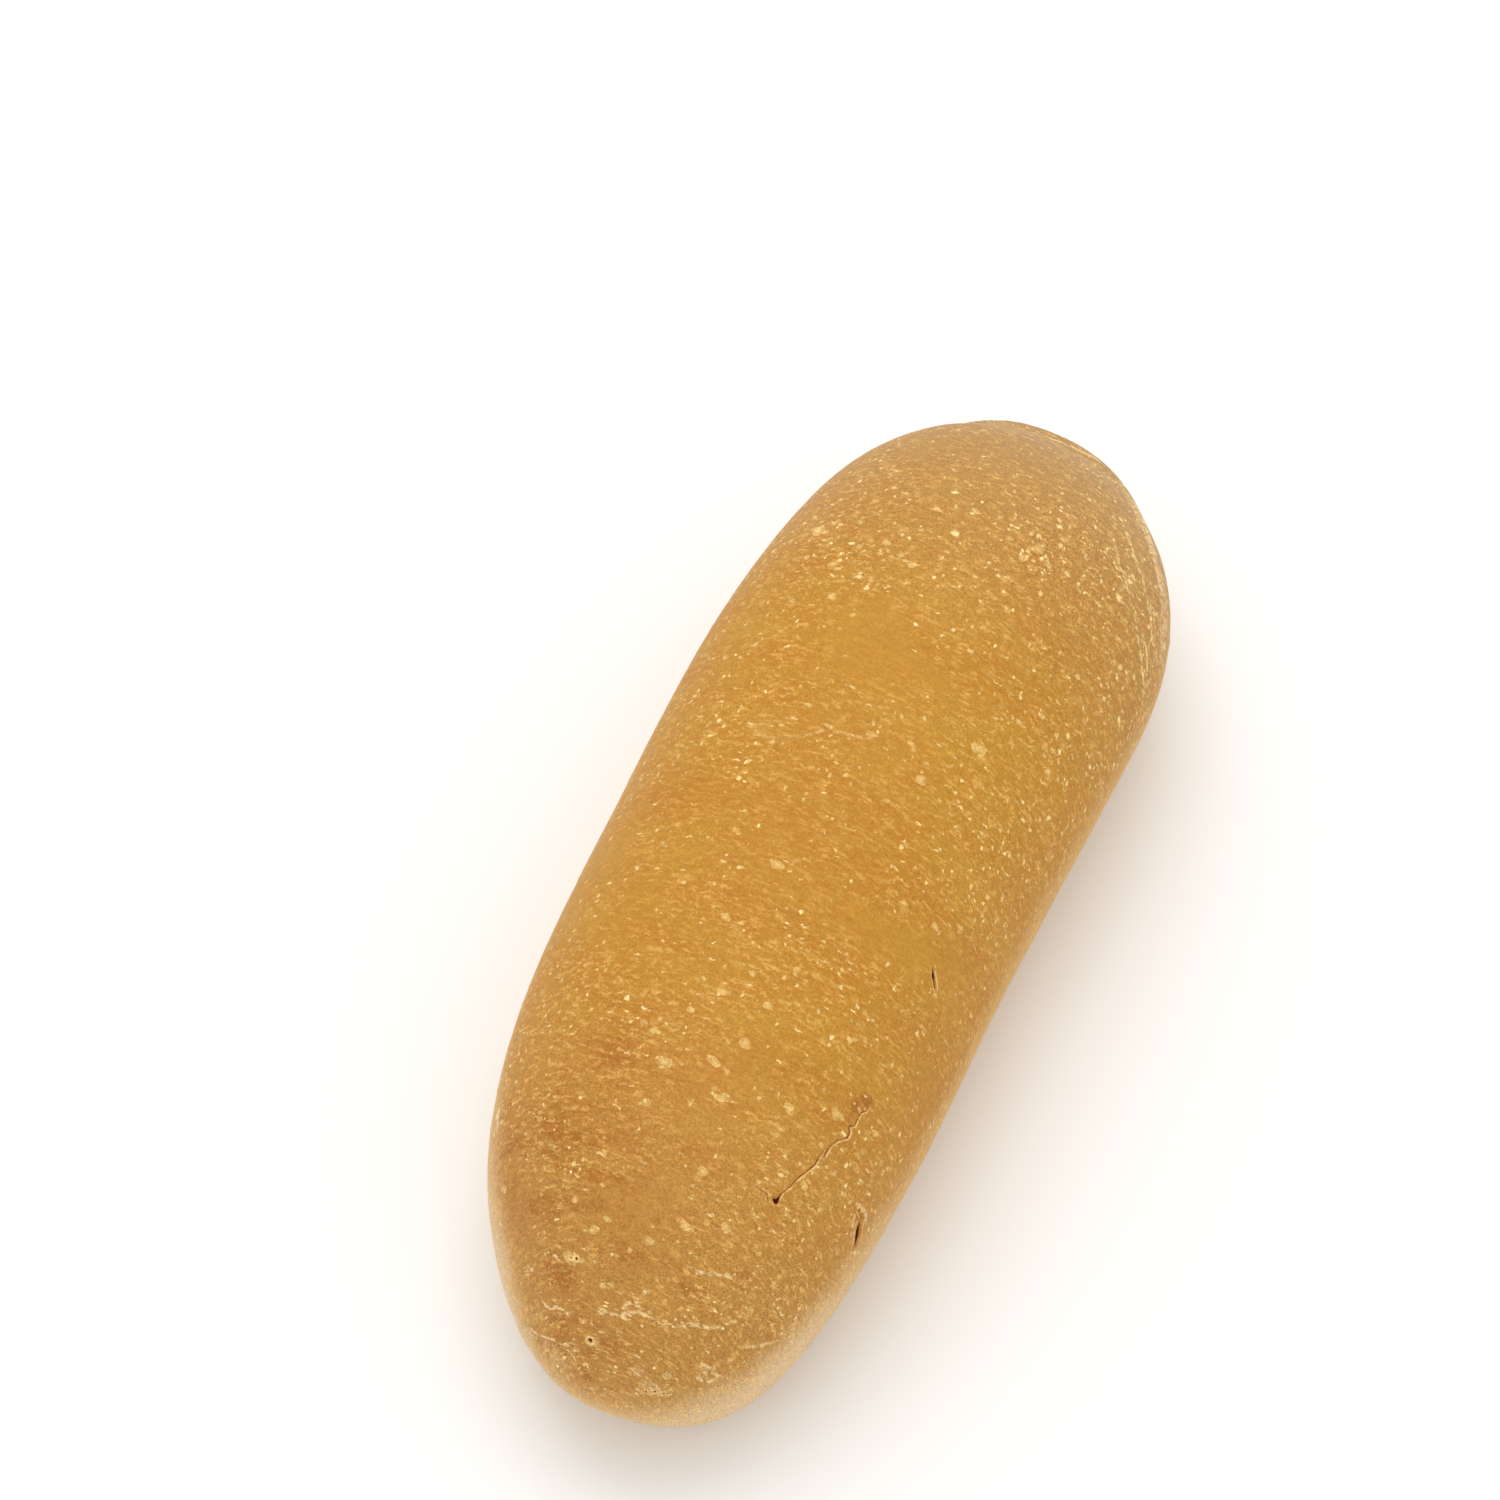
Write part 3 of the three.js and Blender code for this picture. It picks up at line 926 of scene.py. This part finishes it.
# Clusters of specks: along, around, reach, how much more crowded.
CLUSTERS = [
    (45.2, 0.9, 5, 0.35), (42.0, -9.5, 4, 0.5), (45.5, -14.0, 6, 0.45), (48.4, -9.4, 6, 0.3),
    (25.4, -31.1, 8, 0.4), (-60.3, 4.8, 4, 0.3), (-58.3, -9.3, 5, 0.3), (-39.4, 5.7, 5, 0.3),
    (-53.2, 11.5, 6, 0.35), (-20.5, -7.3, 5, 0.3), (-68.0, -6.9, 2.5, 0.6),
]

USUAL_CROWD = 0.40
TRAY_HALF_LENGTH = 60    # the tray browned an oval under the roll
TRAY_HALF_WIDTH = 17
PAST_THE_OVAL = 3        # mm added to `off_tray` outside it, where the sole stayed paler

banded = base * [1, 0.3, 0.3]    # noise looked up here forms bands round the roll
shade = layers_of_noise(base, [(0.38, 30, 10)]) + layers_of_noise(drawn_out, [(0.4, 12, 11)])
shade += layers_of_noise(banded, [(0.6, 6, 15)]) + spots_at(STAINS_AND_SHADE)
crowd = USUAL_CROWD + layers_of_noise(drawn_out, [(0.35, 14, 12), (0.30, 6, 13)])
crowd += layers_of_noise(banded, [(0.2, 5, 16)]) + spots_at(CLUSTERS)
crowd += 0.15 * smooth(-base[:, 1], 4, 20) + 0.25 * smooth(base[:, 0], 20, 45)

sole_middle_y = np.interp(base[:, 0], laid_out[:, 0, 0], laid_out[:, 0, 1])
tray_oval = (base[:, 0] / TRAY_HALF_LENGTH) ** 4 + ((base[:, 1] - sole_middle_y) / TRAY_HALF_WIDTH) ** 2
tray_oval += 0.15 * dough_noise(base, 6, 18)
off_tray = base[:, 2] + PAST_THE_OVAL * smooth(tray_oval, 0.5, 1.4)
print("shade:", round(shade.min(), 1), "to", round(shade.max(), 1), "mean crowd:", round(crowd.mean(), 2))

# %% [markdown]
# ## The finished skin
#
# The relief moves the points, and then the skin is laid into the solid's own box, so
# that a swell never makes the roll larger than its solid.

# %% Points and numbers for the material
points = base + normals * relief[:, None]
points[:, 2] = np.maximum(points[:, 2], 0)
own_low, own_high = points.min(0), points.max(0)
box_low, box_high = np.array(solid_low) / MM, np.array(solid_high) / MM
points = box_low + (points - own_low) * (box_high - box_low) / (own_high - own_low)
skin_mesh.vertices.foreach_set("co", (points * MM).ravel())
print("points moved by at most, mm:", round(np.abs(points - base).max(), 2))

unrolled = np.stack([travel, base[:, 1], base[:, 2]], 1)
skin_mesh.attributes.new("place", "FLOAT_VECTOR", "POINT").data.foreach_set("vector", unrolled.ravel())
carried = {
    "shade": shade,
    "crowd": crowd,
    "row_gap": row_gap,
    "row_paleness": row_paleness,
    "seam": seam,
    "off_tray": off_tray,
    "coil_gap": coil_gap,
    "tear_gap": tear_gap,
    "tear_opening": tear_opening,
    "lip_at": lip_at,
    "hole_gap": hole_gap,
    "blister_gap": blister_gap,
}
for name, values in carried.items():
    skin_mesh.attributes.new(name, "FLOAT", "POINT").data.foreach_set("value", values)

# %% [markdown]
# A bread roll has no natural place for the edges of a flat map, so the cut runs along
# the middle of the sole, where nobody looks.

# %% The flat map
def lay_flat(mesh):
    """A flat map of the crust: along the roll is across the map, and the girth is up it."""
    flat_map = mesh.uv_layers.new(name="OFBake")
    corner_point = np.zeros(len(mesh.loops), int)
    mesh.loops.foreach_get("vertex_index", corner_point)
    across = travel[corner_point] / CRUST_LENGTH
    upward = w[corner_point].copy()
    starts = np.zeros(len(mesh.polygons), int)
    mesh.polygons.foreach_get("loop_start", starts)
    corner_counts = np.diff(np.append(starts, len(mesh.loops)))
    face_of = np.repeat(np.arange(len(starts)), corner_counts)
    highest = np.maximum.reduceat(upward, starts)[face_of]
    wraps = (highest > 0.5) & (upward < -0.99)
    upward[wraps] = 1
    on_tip = (across < 1e-6) | (across > 1 - 1e-6)
    total = np.add.reduceat(np.where(on_tip, 0, upward), starts)[face_of]
    upward = np.where(on_tip, total / 2, upward)
    flat_map.data.foreach_set("uv", np.stack([across, (upward + 1) / 2], 1).ravel())


lay_flat(skin_mesh)
skin_mesh.polygons.foreach_set("use_smooth", np.ones(len(skin_mesh.polygons), bool))
skin_mesh.update()
bread_roll = bpy.data.objects.new("bread_roll", skin_mesh)
scene.collection.objects.link(bread_roll)
triangles = sum(len(f.vertices) - 2 for f in skin_mesh.polygons)
print("bread_roll:", triangles, "triangles")

# %% [markdown]
# ## Shader maths as expressions
#
# A material is a graph of nodes. Drawn by hand it is a web of wires, and written out
# node by node it is hard to read. The class below wraps one output socket and lets it be
# added, scaled and subtracted like a number. Each such sum adds its own Math node.

# %% One class for the nodes
class Wire:
    """An output socket that takes part in sums."""

    tree = None

    def __init__(self, socket):
        self.socket = socket

    @classmethod
    def node(cls, kind, settings=None, sockets=None, out=0):
        """Adds a node: its settings come first, then a value or a Wire for each socket."""
        made = cls.tree.nodes.new(kind)
        for name, value in (settings or {}).items():
            setattr(made, name, value)
        for name, value in (sockets or {}).items():
            if isinstance(value, Wire):
                cls.tree.links.new(value.socket, made.inputs[name])
            else:
                made.inputs[name].default_value = value
        return cls(made.outputs[out]) if made.outputs else None

    def also(self, out):
        """Another output of the same node."""
        return Wire(self.socket.node.outputs[out])

    def maths(self, operation, first, second=0.0):
        return Wire.node("ShaderNodeMath", {"operation": operation}, {0: first, 1: second})

    def __add__(self, other):
        return self.maths("ADD", self, other)

    def __sub__(self, other):
        return self.maths("SUBTRACT", self, other)

    def __rsub__(self, other):
        return self.maths("SUBTRACT", other, self)

    def __mul__(self, other):
        return self.maths("MULTIPLY", self, other)

    def __neg__(self):
        return self.maths("MULTIPLY", self, -1.0)

    def __abs__(self):
        return self.maths("ABSOLUTE", self)

    def most(self, other):
        return self.maths("MAXIMUM", self, other)

    __radd__ = __add__
    __rmul__ = __mul__


# %% Helpers for fields and colours
def field(name, out="Fac"):
    """A number that the mesh carries at each point."""
    return Wire.node("ShaderNodeAttribute", {"attribute_name": name}, out=out)


def rise(value, low, high):
    """0 below low, 1 above high, and a soft S between them."""
    sockets = {"Value": value, "From Min": low, "From Max": high}
    return Wire.node("ShaderNodeMapRange", {"interpolation_type": "SMOOTHSTEP"}, sockets)


def fall(value, low, high):
    """1 below low, 0 above high, and a soft S between them."""
    return 1 - rise(value, low, high)


def stretch(vector, factors):
    return Wire.node("ShaderNodeVectorMath", {"operation": "MULTIPLY"}, {0: vector, 1: factors})


def drawn_round(vector, share):
    """Y and Z scaled down, so that noise looked up there comes out longer round the roll."""
    return stretch(vector, (1.0, share, share))


def shift(vector, offset):
    return Wire.node("ShaderNodeVectorMath", {"operation": "ADD"}, {0: vector, 1: offset})


def lit(colour, factor):
    """The colour made brighter or darker by a factor."""
    return Wire.node("ShaderNodeVectorMath", {"operation": "SCALE"}, {0: colour, "Scale": factor})


def cloud(vector, size, detail=2.0, rough=0.5, out=0):
    """Noise from 0 to 1, with lumps about size millimetres apart."""
    sockets = {"Vector": vector, "Scale": 1 / size, "Detail": detail, "Roughness": rough}
    return Wire.node("ShaderNodeTexNoise", sockets=sockets, out=out)


def tint(amount, first, second):
    """Mixes two colours: first at 0, second at 1."""
    return Wire.node("ShaderNodeMix", {"data_type": "RGBA"}, {0: amount, 6: first, 7: second}, out=2)


def seen(red, green, blue):
    """A colour as a screen shows it, from 0 to 255, turned into the light it stands for."""
    def light(level):
        level /= 255
        return level / 12.92 if level <= 0.04045 else ((level + 0.055) / 1.055) ** 2.4
    return (light(red), light(green), light(blue), 1)


# %% [markdown]
# ## The crust's colour
#
# Olive oil dough browns evenly, to a warm gold. It varies in three steps. Fields as wide
# as a finger are yellower or redder. Smaller clouds, drawn out round the roll by the
# rolling-up, mottle them. And the crust pales where it saw less heat: low on the flanks,
# at the tips and in the seams. On the rims and at the far end part of that paleness is
# painted sheen, and the near end is darker with painted shade. All lengths are in
# millimetres, and `place` is a point's distance along the crust with its Y and Z. The noise is looked up
# a little off its true
# place, by a wandering amount, so that nothing it draws is perfectly round or straight.

# %% Broad colour
GOLD = seen(192, 140, 54)
AMBER = seen(186, 127, 46)
WANDER = (1.3, 0.9, 0.9)      # mm that the noise is looked up off its true place
NEAR_END_FADES = (20, 61)     # mm from the near tip, over which its own colour ends
FAR_END_FADES = (7, 65)       # and the same from the far tip

crust = bpy.data.materials.new("crust")
crust.use_nodes = True
crust.node_tree.nodes.clear()
Wire.tree = crust.node_tree


def tell(made):
    print(made + ":", len(crust.node_tree.nodes), "nodes so far")


where = field("place", "Vector")
split_place = Wire.node("ShaderNodeSeparateXYZ", sockets={0: where})
travelled_mm, y_mm, z_mm = split_place, split_place.also(1), split_place.also(2)
wander = shift(cloud(where, 1.1, detail=3, rough=0.7, out="Color"), (-0.5, -0.5, -0.5))
bent = shift(where, stretch(wander, WANDER))

mottle = cloud(drawn_round(where, 0.35), 2.6, detail=3, rough=0.7)
fleck = cloud(drawn_round(bent, 0.5), 0.75, detail=2, rough=0.6)
ragged_mm = (mottle - 0.5) * 6
near_end = fall(travelled_mm + ragged_mm, *NEAR_END_FADES)
far_end = fall(CRUST_LENGTH - travelled_mm + ragged_mm, *FAR_END_FADES)
browning = field("shade") * 1.1 + (mottle - 0.5) * (near_end * 3.5 + 4.0) + (fleck - 0.5) * 1.2
colour = tint(rise(browning, -1.2, 1.2), GOLD, AMBER)
tell("broad colour")

# %% [markdown]
# ## Duller ends, paler flanks, browner sole, with painted shade and sheen
#
# The near end is duller and darker than the crown, partly painted shade, and the far end
# is paler and greyer, partly painted sheen. The brownest places turn reddish. The flanks saw
# less heat, and lowest down the dough is hardly browned at all, but the tray browned the
# sole. Where the flanks turn away at the rims, their paleness is raised as painted sheen.
# Each of these is a mask between 0 and 1, made from a height or a distance with a
# ragged border, and a colour that the mask mixes in. A later colour lies over an earlier
# one, so the sole comes last.

# %% Duller ends, paler flanks, browner sole, with painted shade and sheen
DULL_END_AND_SHADE = seen(184, 134, 76)
PALE_END_AND_SHEEN = seen(178, 142, 96)
RUSSET = seen(166, 104, 40)
FLANK_RIM_SHEEN_COLOUR = seen(220, 178, 112)
STRAW = seen(223, 179, 101)
PALE_UNDER_AND_RIM_SHEEN = seen(224, 193, 150)
KNOB = seen(224, 182, 128)
SOLE_BROWN = seen(168, 104, 44)

# The near end's duller, darker brown is partly painted shade, over a browner crust.
colour = tint(near_end * 0.5, colour, DULL_END_AND_SHADE)
# The far end's paler, greyer tint is partly painted sheen of the white surroundings, over a paler crust.
colour = tint(far_end * 0.8, colour, PALE_END_AND_SHEEN)
colour = tint(rise(browning, 0.6, 2.4) * 0.8, colour, RUSSET)
# The flanks' paleness reaches higher up each side, up to where it turns away at the rim: painted sheen
# over a paler crust.
left_side = rise(y_mm, 2, 18)
right_side = fall(y_mm, -26, -6)
flank_and_rim_sheen = fall(z_mm + ragged_mm * 0.5 - left_side * 9 - right_side * 3, 12, 22)
colour = tint(flank_and_rim_sheen * 0.6, colour, FLANK_RIM_SHEEN_COLOUR)
low_flank = fall(z_mm + ragged_mm, 3, 14)
colour = tint(low_flank * (mottle * 0.8 + 0.1), colour, STRAW)
# The pale underside near the near end climbs highest at the rims and the tip: painted sheen over less
# browned dough.
tip = fall(travelled_mm + ragged_mm, 8, 26)
under = fall(z_mm + ragged_mm * 0.7 - right_side * 9 - left_side * 12 - tip * 2, 6, 17)
colour = tint(under * near_end * 0.9, colour, PALE_UNDER_AND_RIM_SHEEN)
knob = fall(CRUST_LENGTH - travelled_mm + ragged_mm * 0.3, 5, 11)
colour = tint(knob * 0.6, colour, KNOB)
sole = fall(field("off_tray") + (mottle - 0.5) * 1.6, 0.1, 2.1)
colour = tint(sole, colour, SOLE_BROWN)
tell("ends, flanks and sole")

# %% [markdown]
# ## Specks and dashes
#
# Where a tiny gas bubble dried out under the skin, a pale speck is left. The rolling-up
# drew the specks out round the roll into dashes. A Voronoi texture scatters cells, and
# each cell draws its own speck: its random colour decides whether the speck is there,
# how large it is and how pale. Pores and pits are the same, only rarer and darker, and
# their dark is painted shade. Every kind looks at its own part of the endless texture,
# so that no two kinds coincide.

# %% Specks, dashes and crumbs
def scatter(vector, cell, share, largest, soft=0.6):
    """Spots in cells of that size in mm. A share of the cells has one, up to largest cells wide."""
    cells = Wire.node("ShaderNodeTexVoronoi", sockets={"Vector": vector, "Scale": 1 / cell})
    chances = Wire.node("ShaderNodeSeparateColor", sockets={0: cells.also("Color")})
    radius = (chances * 0.65 + 0.35) * largest
    there = rise(chances.also(1) + share, 1.0, 1.1)
    strength = chances.also(2) * 0.7 + 0.3
    return there * strength * fall(cells, radius * (1 - soft), radius)


CREAM = seen(252, 222, 152)
DOTS_AT = (5.0, 9.0, 2.0)
CRUMBS_AT = (7.0, 2.0, 5.0)
PATCHES_AT = (3.0, 1.0, 8.0)
PORES_AT = (2.0, 6.0, 4.0)
PITS_AT = (4.0, 3.0, 7.0)

busy = field("crowd") * (1 - sole * 0.7)
dashes = scatter(drawn_round(bent, 0.3), 0.72, busy * 1.05, 0.30)
dots = scatter(shift(bent, DOTS_AT), 0.85, busy * 0.55 + far_end * 0.08, 0.42, soft=0.5)
crumbs = scatter(drawn_round(shift(bent, CRUMBS_AT), 0.7), 1.15, busy - 0.5, 0.40, soft=0.45)
speckle = dashes.most(dots).most(crumbs)
patches = scatter(drawn_round(shift(bent, PATCHES_AT), 0.5), 1.6, busy * 1.2, 0.42, soft=0.8)
pores = scatter(shift(where, PORES_AT), 2.2, 0.45, 0.075)
pits = scatter(shift(where, PITS_AT), 1.5, 0.35, 0.14) * low_flank
tell("specks")

# %% [markdown]
# ## Strokes, rows and wisps
#
# The stretched skin also has short strokes round the roll. They are noise that is drawn
# out like the dashes. One threshold on it breaks the pale rows up into marks, and a higher
# one leaves wisps between the specks. The grain over everything is a finer noise that
# brightens and darkens the colour: partly the crust's own tone, partly painted shade of its
# finest relief.

# %% Strokes, rows and wisps
DOUGH_LINE = seen(242, 208, 150)
STROKES_AT = (11.0, 4.0, 6.0)

strokes = cloud(drawn_round(shift(bent, STROKES_AT), 0.28), 0.40, detail=2, rough=0.6)
row_line = fall(abs(field("row_gap") + (fleck - 0.5) * 0.3), 0.11, 0.32)
rows = row_line * field("row_paleness") * rise(strokes, 0.39, 0.56)
wisps = rise(strokes, 0.51, 0.68) * rise(busy + mottle, 0.45, 1.2)
grain = cloud(where, 0.28, detail=1, rough=0.7)

colour = tint(patches * 0.35, colour, STRAW)
colour = tint(wisps * (near_end * 0.2 + 0.5), colour, STRAW)
colour = tint(rows, colour, DOUGH_LINE)
colour = tint(speckle, colour, CREAM)
tell("strokes and rows")

# %% [markdown]
# ## Colours on the relief
#
# Blisters, seams, torn edges and holes follow the numbers that the mesh carries, so that
# the colour sits exactly on the relief. A blister's skin is thin and pale, with a paler
# rim where it stretched most.

# %% Blisters
blister_at = field("blister_gap") + (fleck - 0.5) * 0.6
inside = fall(blister_at, 0.65, 1.1)
rim = fall(abs(blister_at - 0.9), 0.0, 0.22) * rise(wisps + fleck, 0.35, 0.7)
colour = tint(inside * (rise(fleck, 0.35, 0.65) * 0.6 + 0.2), colour, STRAW)
colour = tint(fall(blister_at, 0.1, 0.8) * fleck * 0.8, colour, CREAM)
colour = tint(rim * 0.5, colour, CREAM)
tell("blisters")

# %% [markdown]
# The seams show bare dough, and the far end's band is cream and full of small holes,
# painted dark as shade. A torn line is painted dark brown all the way, the shade in the
# crack. Where it gapes, its lip is pale.

# %% Seams and torn edges
BARE_DOUGH = seen(236, 202, 160)
BAND = seen(250, 226, 160)
TORN = seen(240, 204, 138)
HOLLOW_SHADE = seen(146, 88, 38)

colour = tint(rise(field("seam") + (fleck - 0.5) * 0.35, 0.05, 0.8), colour, BARE_DOUGH)
band = fall(field("coil_gap") + (fleck - 0.5) * 0.5, -0.15, 0.15)
colour = tint(band * (fleck * 0.5 + 0.55), colour, BAND)
band_holes = scatter(where, 1.0, 0.30, 0.20) * band

tear_at = field("tear_gap") + (fleck - 0.5) * 0.16
gape = field("tear_opening")
torn_lip = fall(abs(tear_at + field("lip_at")), 0.02, 0.16) * rise(gape + fleck * 0.1, 0.06, 0.12)
colour = tint(torn_lip * rise(fleck + mottle, 0.7, 1.1) * 0.7, colour, TORN)
# The torn line's dark brown is painted shade in the crack.
shaded_torn_line = fall(abs(tear_at) - gape, -0.05, 0.06) * rise(gape, 0.0, 0.05)
colour = tint(shaded_torn_line, colour, HOLLOW_SHADE)
tell("seams and tears")

# %% [markdown]
# A hole has a pale rim, and its wall is painted dark brown as the shade in it. The places
# too deep for light are marked for the second shader below, which paints them nearly
# black as painted shade. The grain and the bands along the strokes come last, over
# everything, partly painted shade of the fine relief.

# %% Holes and grain
hole_at = field("hole_gap")
colour = tint(fall(abs(hole_at - 1.7), 0.2, 0.9) * fleck, colour, CREAM)
# Hole walls, band holes, pores and pits are painted dark brown: painted shade in the hollows.
walls = fall(hole_at, 0.6, 1.1).most(band_holes * 0.8).most(pores * 0.8).most(pits * 0.7)
colour = tint(walls, colour, HOLLOW_SHADE)
# Places too deep for light, painted nearly black by the dark shader below: painted shade.
painted_pit_shade = rise(gape, 0.10, 0.16) * fall(abs(tear_at) - gape, -0.12, 0.0)
painted_pit_shade = painted_pit_shade.most(fall(hole_at, 0.4, 1.0)).most(shaded_torn_line * 0.15)
# Bands along the strokes and the fine grain brighten and darken the colour: partly own tone, partly
# painted shade of the fine relief.
furrow_shade = (strokes - 0.5) * 0.42 + (mottle - 0.5) * 0.15
grain_depth = busy * 0.6 + near_end * 0.5 + far_end * 0.25 + 0.4
colour = lit(colour, (grain - 0.5) * grain_depth + furrow_shade + 1.0)
tell("holes")

# %% [markdown]
# ## Finish
#
# The crust is satin: rough enough to blur every reflection, smooth enough to shine
# softly. Its finest grain is far too small for the mesh, so a Bump node draws it. Deep
# in a hole a plain dark shader takes over, which mirrors no light: painted shade.

# %% Shader of the crust
PIT_SHADE_COLOUR = seen(80, 26, 10)
OIL_IOR = 1.45
SHINE = 0.12
BUMP_STRENGTH = 0.6

fine_relief = grain * 0.05 + fleck * 0.07 + speckle * 0.08 + wisps * 0.04 - band_holes * 0.3
bumped = Wire.node(
    "ShaderNodeBump",
    sockets={"Strength": BUMP_STRENGTH, "Distance": MM, "Height": fine_relief},
)
roughness = 0.44 + fleck * 0.16 + sole * 0.2
satin = Wire.node("ShaderNodeBsdfPrincipled", sockets={
    "Base Color": colour,
    "Roughness": roughness,
    "Normal": bumped,
    "IOR": OIL_IOR,
    "Specular IOR Level": SHINE,
})
# A nearly black diffuse shader: painted shade deep in holes and gaping tears.
dark = Wire.node("ShaderNodeBsdfDiffuse", sockets={"Color": PIT_SHADE_COLOUR})
surface = Wire.node("ShaderNodeMixShader", sockets={0: painted_pit_shade, 1: satin, 2: dark})
Wire.node("ShaderNodeOutputMaterial", sockets={"Surface": surface})
skin_mesh.materials.append(crust)
tell("whole crust")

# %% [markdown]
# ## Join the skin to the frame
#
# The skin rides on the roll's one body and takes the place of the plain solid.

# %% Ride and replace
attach(bread_roll, "root")
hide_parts("roll")
